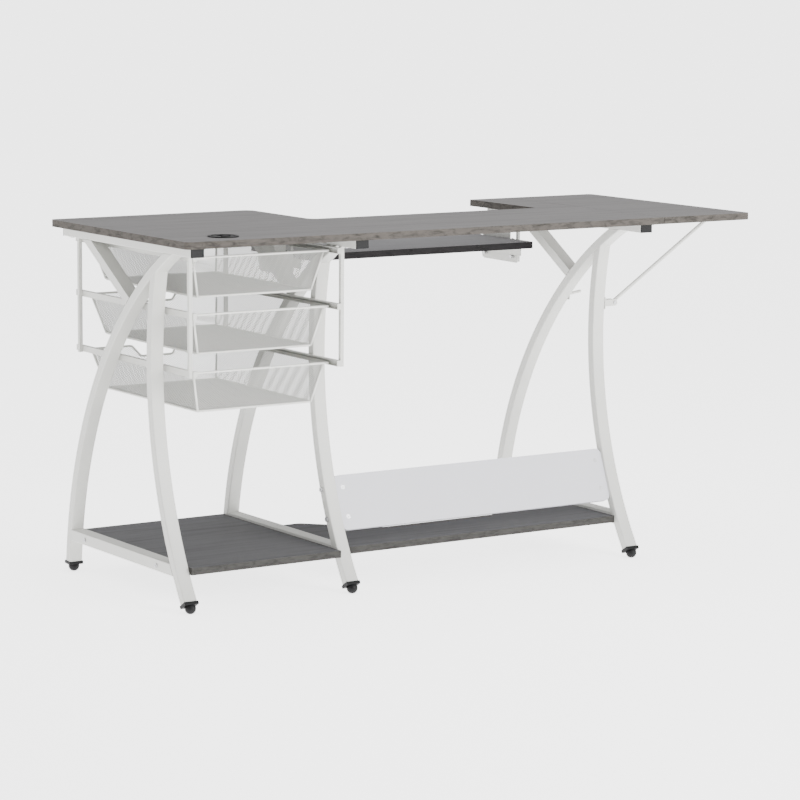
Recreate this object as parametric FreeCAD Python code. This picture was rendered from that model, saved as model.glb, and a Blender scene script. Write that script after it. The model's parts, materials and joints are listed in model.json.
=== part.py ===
"""Sewing table with a fold-down leaf, a drop platform and three mesh drawers.

Laid out in millimetres from the table's left rear corner at floor level: X runs to the
leaf, Y runs from the rear (privacy panel) to the sitter's side, Z is up.  save() moves
every solid so that the origin is under the middle of the table.
"""
import FreeCAD
import Part
import math
import os

V = FreeCAD.Vector

# ---- overall size -------------------------------------------------------------
LENGTH = 1441.0
DEPTH = 597.0
HEIGHT = 762.0
BOARD = 15.0
BOARD_UNDER = HEIGHT - BOARD
CORNER_R = 12.0

# ---- top, leaf and platform ---------------------------------------------------
MAIN_TOP_END = 1198.0
LEAF_START = 1199.0
NOTCH_X0 = 495.0
NOTCH_X1 = 1091.0
NOTCH_Y = 335.0
NOTCH_R = 22.0
NOTCH_TIGHT_R = 3.0
PLATFORM_GAP = 3.0
PLATFORM_TOP = 685.0
PLATFORM_R = {"left": 20.0, "right": 4.0}
GROMMET_X = 125.0
GROMMET_Y = 73.0
GROMMET_BORE_R = 27.0
GROMMET_SEAT = 0.6

# ---- steel frame --------------------------------------------------------------
LEG_X = {"left": 14.0, "middle": 403.0, "right": 1140.0}
TUBE_W = 30.0
TUBE_D = 20.0
WALL = 1.5
RAIL_H = 18.0
RAIL_Y0 = 10.0
RAIL_Y1 = 562.0
RAIL_UNDER = BOARD_UNDER - RAIL_H
LEG_R = 890.0
ARC_CY = -332.0
ARC_CZ = -45.0
FLARE_CY = -703.0
FLARE_CZ = 498.0
ARC_FOOT_Z = 22.5
FLARE_FOOT_Z = 20.5
BRACE_TOP_Y = 456.0
BRACE_SLOPE = 32.0
LOWER_RAIL_Z = 70.0
LOWER_RAIL_H = 25.0

# ---- feet ---------------------------------------------------------------------
PLUG_T = 7.0
PLUG_OVERHANG = 1.5
STUD_R = 3.0
STUD_CLEAR = 0.08
BALL_R = 11.8
BALL_Z = 11.0

# ---- shelves and panel --------------------------------------------------------
SHELF_Z = 74.0
SHELF_T = 15.0
LEFT_SHELF_Y0 = 62.0
LEFT_SHELF_Y1 = 557.0
CENTRE_SHELF_Y0 = 86.0
CENTRE_SHELF_Y1 = 373.0
CENTRE_SHELF_MID_Y = 240.0
CENTRE_SHELF_TAB = 56.0
PANEL_T = 12.0
PANEL_Z0 = 122.0
PANEL_Z1 = 233.0
PANEL_SET_BACK = 4.0
PANEL_NUT_INSET = 20.0
PANEL_BOLT_Z = (147.0, 207.0)

# ---- drawer unit --------------------------------------------------------------
UNIT_X0 = 42.5
UNIT_X1 = 411.5
POST = 8.5
POST_NEAR_Y = 68.0
POST_FAR_Y = 547.5
TAB_T = 2.0
TAB_REACH = 20.0
CHANNEL_Y0 = 66.0
CHANNEL_Y1 = 578.0
CHANNEL_H = 12.5
CHANNEL_W = 9.0
CHANNEL_T = 1.2
CHANNEL_Z = {"bottom": 479.0, "middle": 598.0, "top": 714.5}
RIM_R = 2.5
CORNER_WIRE_R = 2.3
RIM_X0 = 58.3
RIM_X1 = 396.0
RIM_Y0 = 103.0
RIM_Y1 = 549.0
RIM_LIP = 13.5
BASKET_DEPTH = 82.0
TAPER_SIDE = 20.0
TAPER_REAR = 17.5
TAPER_FRONT = 31.0
MESH_INSET = 2.8
MESH_T = 0.8
DIP_TOP_W = 115.0
DIP_LOW_W = 78.0
DIP_DEPTH = 22.5

# ---- platform hangers ---------------------------------------------------------
HANGER_T = 2.0
HANGER_Y0 = 408.0
HANGER_Y1 = 549.0
HANGER_Z0 = 630.0
HANGER_FLANGE = 6.0
PEG_Y = (423.0, 529.0)
PEG_Z = 644.0
PEG_R = 4.0

# ---- leaf hinges and stay -----------------------------------------------------
HINGE_Y = (70.0, 298.5, 527.0)
HINGE_LEN = 60.0
HINGE_AXIS_Z = BOARD_UNDER - 3.0
HINGE_AXIS_X = 0.5 * (MAIN_TOP_END + LEAF_START)
PIN_R = 1.5
STAY_X = 1198.0
STAY_Y = 185.0
STAY_Z = 556.5
STAY_EAR_R = 7.4
STAY_ROD_R = 4.0
STAY_TIP_X = 1408.0
STAY_TIP_Y = 111.0
STAY_TIP_Z = BOARD_UNDER - 4.8
FAR_PEG_Y = 300.0
FAR_PEG_Z = 563.0
FAR_PEG_REACH = 36.0


def save(node, shapes):
    """Write one node's solids, moved so the origin is below the table's middle."""
    moved = []
    for shape in shapes:
        for solid in shape.Solids:
            copy = solid.copy()
            copy.translate(V(-LENGTH / 2, -DEPTH / 2, 0))
            moved.append(copy)
    result = moved[0] if len(moved) == 1 else Part.makeCompound(moved)
    result.exportStep("parts/" + node + ".step")


def box(x0, y0, z0, x1, y1, z1):
    return Part.makeBox(x1 - x0, y1 - y0, z1 - z0, V(x0, y0, z0))


def rod(start, end, radius):
    direction = end.sub(start)
    return Part.makeCylinder(radius, direction.Length, start, direction)


def prism(points, thickness):
    """Extrude a closed outline given as vectors along its own normal."""
    face = Part.Face(Part.makePolygon(points + [points[0]]))
    return face.extrude(thickness)


def upright_edges(shape, places):
    """Edges parallel to Z that pass through the given XY places."""
    found = []
    for edge in shape.Edges:
        first = edge.Vertexes[0].Point
        last = edge.Vertexes[-1].Point
        if abs(first.x - last.x) > 0.01 or abs(first.y - last.y) > 0.01:
            continue
        for x, y in places:
            if abs(first.x - x) < 0.01 and abs(first.y - y) < 0.01:
                found.append(edge)
    return found


# ---- boards -------------------------------------------------------------------
def screw_hole(x, y, z, radius=2.1, depth=9.0):
    """Blind pilot hole going up into a board from its underside."""
    return Part.makeCylinder(radius, depth + 0.5, V(x, y, z - 0.5))


def rail_screw_places(name):
    x = LEG_X[name] + TUBE_W / 2
    return [(x, y) for y in (40.0, 300.0, 530.0)]


def hanger_screw_places():
    places = []
    for side in (-1, 1):
        x = hanger_face(side) + side * 12.0
        for y in (HANGER_Y0 + 24.0, HANGER_Y1 - 24.0):
            places.append((x, y))
    return places


def unit_tab_places(side):
    """Screw places in the drawer unit's tabs, which lie under the two rails beside it."""
    x = UNIT_X0 - 12.5 if side < 0 else UNIT_X1 + 8.0
    return [(x, POST_NEAR_Y + POST / 2), (x, POST_FAR_Y + POST / 2)]


def hinge_screw_places(side):
    places = []
    for y in HINGE_Y:
        for dy in (-20.0, 0.0, 20.0):
            places.append((HINGE_AXIS_X + side * 15.0, y + dy))
    return places


def stay_catch_places():
    return [(STAY_TIP_X - 4.0, STAY_TIP_Y - 17.0), (STAY_TIP_X - 4.0, STAY_TIP_Y + 17.0)]


def main_top():
    board = box(0, 0, BOARD_UNDER, MAIN_TOP_END, DEPTH, HEIGHT)
    notch = box(NOTCH_X0, NOTCH_Y, BOARD_UNDER - 1, NOTCH_X1, DEPTH + 1, HEIGHT + 1)
    board = board.cut(notch)
    board = board.makeFillet(CORNER_R, upright_edges(board, [(0, 0), (0, DEPTH)]))
    left = [(NOTCH_X0, NOTCH_Y), (NOTCH_X0, DEPTH)]
    board = board.makeFillet(NOTCH_R, upright_edges(board, left))
    board = board.makeFillet(NOTCH_TIGHT_R, upright_edges(board, [(NOTCH_X1, NOTCH_Y)]))
    board = board.cut(Part.makeCylinder(GROMMET_BORE_R, BOARD + 2,
                                        V(GROMMET_X, GROMMET_Y, BOARD_UNDER - 1)))
    board = board.cut(Part.makeCylinder(32.2, 5, V(GROMMET_X, GROMMET_Y,
                                                   HEIGHT - GROMMET_SEAT)))
    holes = []
    for name in LEG_X:
        holes += rail_screw_places(name)
    holes += hanger_screw_places() + hinge_screw_places(-1)
    for x, y in holes:
        board = board.cut(screw_hole(x, y, BOARD_UNDER))
    return board


def fold_down_leaf():
    board = box(LEAF_START, 0, BOARD_UNDER, LENGTH, DEPTH, HEIGHT)
    corners = [(LENGTH, 0), (LENGTH, DEPTH)]
    board = board.makeFillet(CORNER_R, upright_edges(board, corners))
    for x, y in hinge_screw_places(1) + stay_catch_places():
        board = board.cut(screw_hole(x, y, BOARD_UNDER))
    return board


def platform_bracket_places():
    places = []
    for side in (-1, 1):
        x = platform_face(side) - side * 10.0
        for y in (405.0, 545.0):
            places.append((x, y))
    return places


def drop_platform():
    x0 = NOTCH_X0 + PLATFORM_GAP
    x1 = NOTCH_X1 - PLATFORM_GAP
    y0 = NOTCH_Y + PLATFORM_GAP
    under = PLATFORM_TOP - BOARD
    board = box(x0, y0, under, x1, DEPTH - 1.0, PLATFORM_TOP)
    board = board.makeFillet(PLATFORM_R["left"], upright_edges(board, [(x0, y0)]))
    board = board.makeFillet(PLATFORM_R["right"], upright_edges(board, [(x1, y0)]))
    for x, y in platform_bracket_places():
        board = board.cut(screw_hole(x, y, under))
    return board


def left_lower_shelf():
    x0 = LEG_X["left"] + TUBE_W
    shelf = box(x0, LEFT_SHELF_Y0, SHELF_Z, LEG_X["middle"], LEFT_SHELF_Y1, SHELF_Z + SHELF_T)
    return drill_shelf(shelf, ("left", "middle"))


def centre_lower_shelf():
    x0 = LEG_X["middle"] + TUBE_W
    x1 = LEG_X["right"]
    slant = CENTRE_SHELF_Y1 - CENTRE_SHELF_MID_Y
    outline = [
        V(x0, CENTRE_SHELF_Y0, SHELF_Z),
        V(x1, CENTRE_SHELF_Y0, SHELF_Z),
        V(x1, CENTRE_SHELF_Y1, SHELF_Z),
        V(x1 - CENTRE_SHELF_TAB, CENTRE_SHELF_Y1, SHELF_Z),
        V(x1 - CENTRE_SHELF_TAB - slant, CENTRE_SHELF_MID_Y, SHELF_Z),
        V(x0 + CENTRE_SHELF_TAB + slant, CENTRE_SHELF_MID_Y, SHELF_Z),
        V(x0 + CENTRE_SHELF_TAB, CENTRE_SHELF_Y1, SHELF_Z),
        V(x0, CENTRE_SHELF_Y1, SHELF_Z),
    ]
    shelf = prism(outline, V(0, 0, SHELF_T))
    bends = [(p.x, p.y) for p in outline[3:7]]
    shelf = shelf.makeFillet(18.0, upright_edges(shelf, bends))
    return drill_shelf(shelf, ("middle_right", "right_in"))


# Each shelf screw: tube it passes through, direction it points along X, its Y places.
SHELF_SCREWS = {
    "left": (LEG_X["left"], 1, (157.0, 475.0)),
    "middle": (LEG_X["middle"] + TUBE_W, -1, (157.0, 475.0)),
    "middle_right": (LEG_X["middle"], 1, (120.0, 335.0)),
    "right_in": (LEG_X["right"] + TUBE_W, -1, (120.0, 335.0)),
}
SHELF_SCREW_REACH = 62.0
SHELF_SCREW_R = 2.6


def shelf_screw(key, y, grow=0.0):
    """Shelf screw with a pan head outside the lower rail; grow gives its hole."""
    face, sign, _ = SHELF_SCREWS[key]
    z = SHELF_Z + SHELF_T / 2
    shank = rod(V(face, y, z), V(face + sign * SHELF_SCREW_REACH, y, z), SHELF_SCREW_R + grow)
    if grow:
        return shank
    head = rod(V(face - sign * 2.2, y, z), V(face, y, z), 4.6)
    socket = rod(V(face - sign * 3.0, y, z), V(face - sign * 1.0, y, z), 1.8)
    return head.cut(socket).fuse(shank)


def head_pocket(key, y):
    """Room for a screw head that ends up against the neighbouring shelf."""
    face, sign, _ = SHELF_SCREWS[key]
    z = SHELF_Z + SHELF_T / 2
    return rod(V(face - sign * 3.0, y, z), V(face + sign, y, z), 5.0)


def drill_shelf(shelf, keys):
    for key in SHELF_SCREWS:
        for y in SHELF_SCREWS[key][2]:
            if key in keys:
                shelf = shelf.cut(shelf_screw(key, y, grow=0.1))
            else:
                shelf = shelf.cut(head_pocket(key, y))
    return shelf


def shelf_screws():
    screws = []
    for key in SHELF_SCREWS:
        for y in SHELF_SCREWS[key][2]:
            screws.append(shelf_screw(key, y))
    return screws


# ---- steel frame --------------------------------------------------------------
def angle_at(z, cz, radius=LEG_R):
    return math.degrees(math.asin((z - cz) / radius))


def tube_section(x0, radius, width, depth, corner):
    """Rectangle at a given radius with each corner eased by two flats."""
    x1 = x0 + width
    r0 = radius - depth / 2
    r1 = radius + depth / 2
    mid = 0.29 * corner
    outline = []
    for x, r, sx, sr in ((x0, r0, 1, 1), (x0, r1, 1, -1), (x1, r1, -1, -1), (x1, r0, -1, 1)):
        steps = [(corner, 0.0), (mid, mid), (0.0, corner)]
        if sx * sr < 0:
            steps.reverse()
        for dx, dr in steps:
            outline.append((x + sx * dx, r + sr * dr))
    return outline


def bent_bar(outline, cy, cz, a0, a1):
    """Turn a section drawn as (x, radius) about the X-parallel axis through (cy, cz)."""
    points = [V(x, cy + r, cz) for x, r in outline]
    face = Part.Face(Part.makePolygon(points + [points[0]]))
    face.rotate(V(0, cy, cz), V(1, 0, 0), a0)
    return face.revolve(V(0, cy, cz), V(1, 0, 0), a1 - a0)


def curved_tube(x0, cy, cz, a0, a1):
    """Hollow bent tube between two angles (degrees)."""
    outer = bent_bar(tube_section(x0, LEG_R, TUBE_W, TUBE_D, 2.2), cy, cz, a0, a1)
    void = [(x0 + WALL, LEG_R - TUBE_D / 2 + WALL), (x0 + WALL, LEG_R + TUBE_D / 2 - WALL),
            (x0 + TUBE_W - WALL, LEG_R + TUBE_D / 2 - WALL),
            (x0 + TUBE_W - WALL, LEG_R - TUBE_D / 2 + WALL)]
    return outer.cut(bent_bar(void, cy, cz, a0 - 1.0, a1 + 1.0))


def is_long_edge(edge):
    return edge.Length > 4 * TUBE_W


def disc(x0, x1, cy, cz, radius):
    return Part.makeCylinder(radius, x1 - x0, V(x0, cy, cz), V(1, 0, 0))


def arc_leg(name):
    """Leg that sweeps from the sitter's foot up to the rear end of the top rail."""
    x0 = LEG_X[name]
    leg = curved_tube(x0, ARC_CY, ARC_CZ, angle_at(ARC_FOOT_Z, ARC_CZ), 64.0)
    return leg.cut(box(x0 - 1, 0, RAIL_UNDER, x0 + TUBE_W + 1, DEPTH, HEIGHT + 100))


def flared_leg(name):
    """Leg that flares to the rear and butts under the arc leg."""
    x0 = LEG_X[name]
    leg = curved_tube(x0, FLARE_CY, FLARE_CZ, angle_at(FLARE_FOOT_Z, FLARE_CZ), 16.0)
    under_arc = disc(x0 - 1, x0 + TUBE_W + 1, ARC_CY, ARC_CZ, LEG_R - TUBE_D / 2)
    leg = leg.common(under_arc)
    if name in PANEL_LEGS:
        for z in PANEL_BOLT_Z:
            leg = leg.cut(panel_bolt_hole(name, z))
    if name == "right":
        for z in (STAY_Z - 9.0, STAY_Z + 9.0):
            y = leg_centre_y(FLARE_CY, FLARE_CZ, z)
            leg = leg.cut(rod(V(x0 + TUBE_W - 5, y, z), V(x0 + TUBE_W + 5, y, z), 1.7))
    return leg


def leg_centre_y(cy, cz, z, radius=LEG_R):
    return cy + math.sqrt(radius ** 2 - (z - cz) ** 2)


def brace_bar(x0, x1, half, top_z):
    slope = math.radians(BRACE_SLOPE)
    along = V(0, -math.cos(slope), -math.sin(slope))
    across = V(0, -math.sin(slope), math.cos(slope)) * half
    top = V(x0, BRACE_TOP_Y, RAIL_UNDER)
    start = top.sub(along * 60)
    end = top.add(along * 330)
    bar = prism([start.add(across), end.add(across), end.sub(across), start.sub(across)],
                V(x1 - x0, 0, 0))
    return bar.common(box(x0 - 1, 0, 0, x1 + 1, DEPTH, top_z))


def diagonal_brace(name):
    x0 = LEG_X[name]
    bar = brace_bar(x0, x0 + TUBE_W, TUBE_D / 2, RAIL_UNDER)
    hollow = brace_bar(x0 + WALL, x0 + TUBE_W - WALL, TUBE_D / 2 - WALL, RAIL_UNDER)
    bar = bar.cut(hollow)
    leg_disc = disc(x0 - 1, x0 + TUBE_W + 1, ARC_CY, ARC_CZ, LEG_R + TUBE_D / 2)
    return bar.cut(leg_disc)


def top_rail(name):
    x0 = LEG_X[name]
    rail = box(x0, RAIL_Y0, RAIL_UNDER, x0 + TUBE_W, RAIL_Y1, BOARD_UNDER)
    sides = [e for e in rail.Edges if is_long_edge(e)]
    rail = rail.makeFillet(2.0, sides)
    rail = rail.cut(box(x0 + WALL, 0, RAIL_UNDER + WALL, x0 + TUBE_W - WALL, DEPTH,
                        BOARD_UNDER - WALL))
    for x, y in rail_screw_places(name):
        rail = rail.cut(Part.makeCylinder(2.6, RAIL_H + 2, V(x, y, RAIL_UNDER - 1)))
        rail = rail.cut(Part.makeCylinder(5.5, WALL + 2, V(x, y, RAIL_UNDER - 1)))
    if name in UNIT_RAILS:
        for x, y in unit_tab_places(UNIT_RAILS[name]):
            rail = rail.cut(Part.makeCylinder(2.1, WALL + 2, V(x, y, RAIL_UNDER - 1)))
    return rail


def rail_screws():
    """Wood screws seated on the top wall of each rail, reached through its floor."""
    screws = []
    z = BOARD_UNDER - WALL
    for name in LEG_X:
        for x, y in rail_screw_places(name):
            head = Part.makeCylinder(4.4, 2.4, V(x, y, z - 2.4))
            shank = Part.makeCylinder(2.0, WALL + 8.5, V(x, y, z))
            drive = Part.makeCylinder(1.7, 1.4, V(x, y, z - 3.0))
            screws.append(head.fuse(shank).cut(drive))
    return screws


def rail_end_caps():
    """Moulded plugs in both ends of the three top rails."""
    caps = []
    for name in LEG_X:
        x0 = LEG_X[name]
        for y, sign in ((RAIL_Y0, -1), (RAIL_Y1, 1)):
            y_out = y + sign * 2.4
            lo, hi = sorted((y, y_out))
            plate = box(x0, lo, RAIL_UNDER, x0 + TUBE_W, hi, BOARD_UNDER - 0.2)
            outer = [e for e in plate.Edges
                     if all(abs(v.Point.y - y_out) < 0.01 for v in e.Vertexes)]
            plate = plate.makeFillet(1.0, outer)
            lo, hi = sorted((y, y - sign * 8.0))
            body = box(x0 + WALL + 0.1, lo, RAIL_UNDER + WALL + 0.1, x0 + TUBE_W - WALL - 0.1,
                       hi, BOARD_UNDER - WALL - 0.1)
            lo, hi = sorted((y - sign * 2.0, y - sign * 9.0))
            hollow = box(x0 + WALL + 2, lo, RAIL_UNDER + WALL + 2, x0 + TUBE_W - WALL - 2,
                         hi, BOARD_UNDER - WALL - 2)
            caps.append(plate.fuse(body.cut(hollow)).removeSplitter())
    return caps


def lower_rail(name):
    x0 = LEG_X[name]
    z1 = LOWER_RAIL_Z + LOWER_RAIL_H
    rail = box(x0, 40, LOWER_RAIL_Z, x0 + TUBE_W, 580, z1)
    sides = [e for e in rail.Edges if is_long_edge(e)]
    rail = rail.makeFillet(2.0, sides)
    rail = rail.cut(box(x0 + WALL, 0, LOWER_RAIL_Z + WALL, x0 + TUBE_W - WALL, DEPTH,
                        z1 - WALL))
    rail = rail.cut(disc(x0 - 1, x0 + TUBE_W + 1, FLARE_CY, FLARE_CZ, LEG_R + TUBE_D / 2))
    rail = rail.common(disc(x0 - 1, x0 + TUBE_W + 1, ARC_CY, ARC_CZ, LEG_R - TUBE_D / 2))
    for key in SHELF_SCREWS:
        face = SHELF_SCREWS[key][0]
        if x0 - 1 < face < x0 + TUBE_W + 1:
            for y in SHELF_SCREWS[key][2]:
                rail = rail.cut(shelf_screw(key, y, grow=0.1))
    return rail


# ---- feet ---------------------------------------------------------------------
def foot_axis(front):
    """Middle of a leg's lower end and the unit vector pointing down along the leg."""
    cy, cz = (ARC_CY, ARC_CZ) if front else (FLARE_CY, FLARE_CZ)
    foot_z = ARC_FOOT_Z if front else FLARE_FOOT_Z
    turn = math.radians(angle_at(foot_z, cz))
    centre = V(0, cy + LEG_R * math.cos(turn), cz + LEG_R * math.sin(turn))
    down = V(0, math.sin(turn), -math.cos(turn))
    return centre, down


def tilted(shape, centre, down):
    """Place a shape modelled along -Z with its top at the origin onto a leg's end."""
    angle = math.degrees(math.atan2(down.y, -down.z))
    shape.rotate(V(0, 0, 0), V(1, 0, 0), angle)
    shape.translate(centre)
    return shape


def foot_plug(name, front):
    """Black end plug: a flange under the tube, a body inside it and a threaded bore."""
    centre, down = foot_axis(front)
    centre = V(LEG_X[name] + TUBE_W / 2, centre.y, centre.z)
    half_w = TUBE_W / 2 + PLUG_OVERHANG
    half_d = TUBE_D / 2 + PLUG_OVERHANG
    flange = box(-half_w, -half_d, -PLUG_T, half_w, half_d, 0)
    low = [e for e in flange.Edges if all(abs(v.Point.z + PLUG_T) < 0.01 for v in e.Vertexes)]
    flange = flange.makeFillet(1.2, low)
    inside = 0.15 + WALL
    body = box(-TUBE_W / 2 + inside, -TUBE_D / 2 + inside, 0, TUBE_W / 2 - inside,
               TUBE_D / 2 - inside, 14.0)
    plug = flange.fuse(body)
    plug = plug.cut(Part.makeCylinder(STUD_R + STUD_CLEAR, 30, V(0, 0, -8)))
    return tilted(plug, centre, down)


def glide(name, front):
    """Levelling foot: a threaded stud in a flattened black ball that meets the floor."""
    centre, down = foot_axis(front)
    centre = V(LEG_X[name] + TUBE_W / 2, centre.y, centre.z)
    reach = (centre.z - BALL_Z) / -down.z
    ball_at = centre.add(down * reach)
    ball = Part.makeSphere(BALL_R, ball_at)
    ball = ball.common(box(ball_at.x - 30, ball_at.y - 30, 0, ball_at.x + 30, ball_at.y + 30,
                           60))
    top = centre.add(down * (PLUG_T + 0.6))
    cap = Part.makeCylinder(40, 40, top, down * -1)
    ball = ball.cut(cap)
    stud = rod(centre.add(down * -12.0), ball_at, STUD_R)
    return ball.fuse(stud).removeSplitter()


# ---- privacy panel ------------------------------------------------------------
PANEL_LEGS = {"middle": -1, "right": 1}


def panel_frame():
    """Middle of the panel in YZ, the unit vector up along it and the one to the front."""
    y0 = leg_centre_y(FLARE_CY, FLARE_CZ, PANEL_Z0)
    y1 = leg_centre_y(FLARE_CY, FLARE_CZ, PANEL_Z1)
    up = V(0, y1 - y0, PANEL_Z1 - PANEL_Z0)
    height = up.Length
    up.normalize()
    front = V(0, up.z, -up.y)
    middle = V(0, (y0 + y1) / 2, (PANEL_Z0 + PANEL_Z1) / 2).add(front * PANEL_SET_BACK)
    return middle, up, front, height


def back_panel():
    middle, up, front, height = panel_frame()
    x0 = LEG_X["middle"] + TUBE_W
    x1 = LEG_X["right"]
    base = middle.sub(front * (PANEL_T / 2)).sub(up * (height / 2))
    a = V(x0, base.y, base.z)
    b = V(x1, base.y, base.z)
    lift = up * height
    panel = prism([a, b, b.add(lift), a.add(lift)], front * PANEL_T)
    short = [e for e in panel.Edges if abs(e.Length - PANEL_T) < 0.01]
    panel = panel.makeFillet(14.0, short)
    for name in PANEL_LEGS:
        for z in PANEL_BOLT_Z:
            panel = panel.cut(panel_bolt_hole(name, z))
            panel = panel.cut(barrel_nut(name, z, grow=0.1))
    return panel


def panel_bolt_point(name, z):
    """Where a panel bolt crosses the panel's middle plane, at the leg's outer face."""
    middle, up, _, _ = panel_frame()
    step = (z - middle.z) / up.z
    x = LEG_X[name] if PANEL_LEGS[name] < 0 else LEG_X[name] + TUBE_W
    return V(x, middle.y + up.y * step, z)


def panel_bolt_hole(name, z):
    start = panel_bolt_point(name, z)
    inward = -PANEL_LEGS[name]
    reach = inward * (TUBE_W + PANEL_NUT_INSET)
    return rod(start.sub(V(inward * 3, 0, 0)), start.add(V(reach, 0, 0)), 3.1)


def panel_bolt(name, z):
    start = panel_bolt_point(name, z)
    inward = -PANEL_LEGS[name]
    head = rod(start.sub(V(inward * 3, 0, 0)), start, 5.5)
    socket = rod(start.sub(V(inward * 4, 0, 0)), start.sub(V(inward, 0, 0)), 2.0)
    end = start.add(V(inward * (TUBE_W + PANEL_NUT_INSET - 5.2), 0, 0))
    return head.cut(socket).fuse(rod(start, end, 2.9))


def barrel_nut(name, z, grow=0.0):
    """Cross dowel whose slotted end shows on the panel's rear face."""
    _, _, front, _ = panel_frame()
    point = panel_bolt_point(name, z)
    inward = -PANEL_LEGS[name]
    centre = V(point.x + inward * (TUBE_W + PANEL_NUT_INSET), point.y, point.z)
    rear = centre.sub(front * (PANEL_T / 2 + (1 if grow else -0.3)))
    nut = rod(rear, centre.add(front * (PANEL_T / 2 - 2)), 5.0 + grow)
    if grow:
        return nut
    slot = box(-0.6, -6, -0.6, 0.6, 6, 0.6)
    slot.translate(rear)
    return nut.cut(slot)


def panel_parts():
    bolts = []
    nuts = []
    for name in PANEL_LEGS:
        for z in PANEL_BOLT_Z:
            bolts.append(panel_bolt(name, z))
            nuts.append(barrel_nut(name, z))
    return bolts, nuts


# ---- drawer unit --------------------------------------------------------------
UNIT_RAILS = {"left": -1, "middle": 1}


def unit_side(side):
    """One hanging side frame: two posts, three channels on their inner faces, two tabs."""
    outer = UNIT_X0 if side < 0 else UNIT_X1
    inward = -side
    tab_low = RAIL_UNDER - TAB_T

    def slab(dx0, y0, z0, dx1, y1, z1):
        lo, hi = sorted((outer + inward * dx0, outer + inward * dx1))
        return box(lo, y0, z0, hi, y1, z1)

    pieces = []
    low = CHANNEL_Z["bottom"] - 1.0
    for y in (POST_NEAR_Y, POST_FAR_Y):
        post = slab(0, y, low, POST, y + POST, RAIL_UNDER)
        pieces.append(post.makeFillet(1.0, [e for e in post.Edges if e.Length > 100.0]))
        pieces.append(slab(POST / 2, y, tab_low, -TAB_REACH, y + POST, RAIL_UNDER))
    for z in CHANNEL_Z.values():
        bar = slab(POST, CHANNEL_Y0, z, POST + CHANNEL_W, CHANNEL_Y1, z + CHANNEL_H)
        bar = bar.cut(slab(POST + CHANNEL_T, CHANNEL_Y0 + 1.5, z + CHANNEL_T,
                           POST + CHANNEL_W + 1, CHANNEL_Y1 + 1, z + CHANNEL_H - CHANNEL_T))
        pieces.append(bar)
    frame = pieces[0].multiFuse(pieces[1:])
    for x, y in unit_tab_places(side):
        frame = frame.cut(Part.makeCylinder(2.1, 6, V(x, y, RAIL_UNDER - 4)))
    return frame.removeSplitter()


def round_screw(x, y, under, length=8.0):
    """Pan-head screw driven up; under is the face its head bears on."""
    head = Part.makeCylinder(4.0, 2.0, V(x, y, under - 2.0))
    rim = [e for e in head.Edges if abs(e.BoundBox.ZMax - under + 2.0) < 0.01]
    head = head.makeFillet(1.0, rim)
    drive = Part.makeCylinder(1.5, 1.0, V(x, y, under - 2.2))
    return head.fuse(Part.makeCylinder(1.9, length, V(x, y, under))).cut(drive)


def unit_screws():
    places = unit_tab_places(-1) + unit_tab_places(1)
    return [round_screw(x, y, RAIL_UNDER - TAB_T) for x, y in places]


def body_corners(z_rim, drop, inset):
    """Corner points of a basket's tapered body at a given drop below its rim."""
    share = drop / BASKET_DEPTH
    side = RIM_LIP + TAPER_SIDE * share + inset
    rear = TAPER_REAR * share + inset
    front = TAPER_FRONT * share + inset
    z = z_rim - drop
    return [V(RIM_X0 + side, RIM_Y0 + rear, z), V(RIM_X1 - side, RIM_Y0 + rear, z),
            V(RIM_X1 - side, RIM_Y1 - front, z), V(RIM_X0 + side, RIM_Y1 - front, z)]


def loft(lower, upper):
    wires = [Part.makePolygon(points + [points[0]]) for points in (lower, upper)]
    return Part.makeLoft(wires, True)


def rim_z(level):
    """Height of the rim wire's middle; it rides just above the channel's lower lip."""
    return CHANNEL_Z[level] + CHANNEL_T + RIM_R + 0.4


def basket(level):
    """Tapered mesh basket modelled as thin sheet inside its wires, with side lips."""
    z = rim_z(level)
    floor_drop = BASKET_DEPTH - MESH_INSET
    shell = loft(body_corners(z, floor_drop, MESH_INSET), body_corners(z, 0.0, MESH_INSET))
    wall = MESH_T * 1.05
    hollow = loft(body_corners(z, floor_drop - MESH_T, MESH_INSET + wall),
                  body_corners(z, -1.0, MESH_INSET + wall))
    shell = shell.cut(hollow)
    y0 = RIM_Y0 + MESH_INSET
    y1 = RIM_Y1 - MESH_INSET
    inner = RIM_LIP + MESH_INSET + wall
    left = box(RIM_X0 + MESH_INSET, y0, z - MESH_T, RIM_X0 + inner, y1, z)
    right = box(RIM_X1 - inner, y0, z - MESH_T, RIM_X1 - MESH_INSET, y1, z)
    shell = shell.multiFuse([left.cut(hollow), right.cut(hollow)]).removeSplitter()
    return shell.cut(dip_cutter(z))


def dip_outline(z):
    """Points of the finger dip's outline on the front wall, from left to right."""
    mid = 0.5 * (RIM_X0 + RIM_X1)
    low = z - DIP_DEPTH
    return [(mid - DIP_TOP_W / 2, z), (mid - DIP_LOW_W / 2, low),
            (mid + DIP_LOW_W / 2, low), (mid + DIP_TOP_W / 2, z)]


def dip_cutter(z):
    pts = dip_outline(z)
    y = RIM_Y1 - 60.0
    points = [V(pts[0][0], y, z + 5)] + [V(a, y, b) for a, b in pts] + [V(pts[3][0], y, z + 5)]
    return prism(points, V(0, 120, 0))


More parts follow.
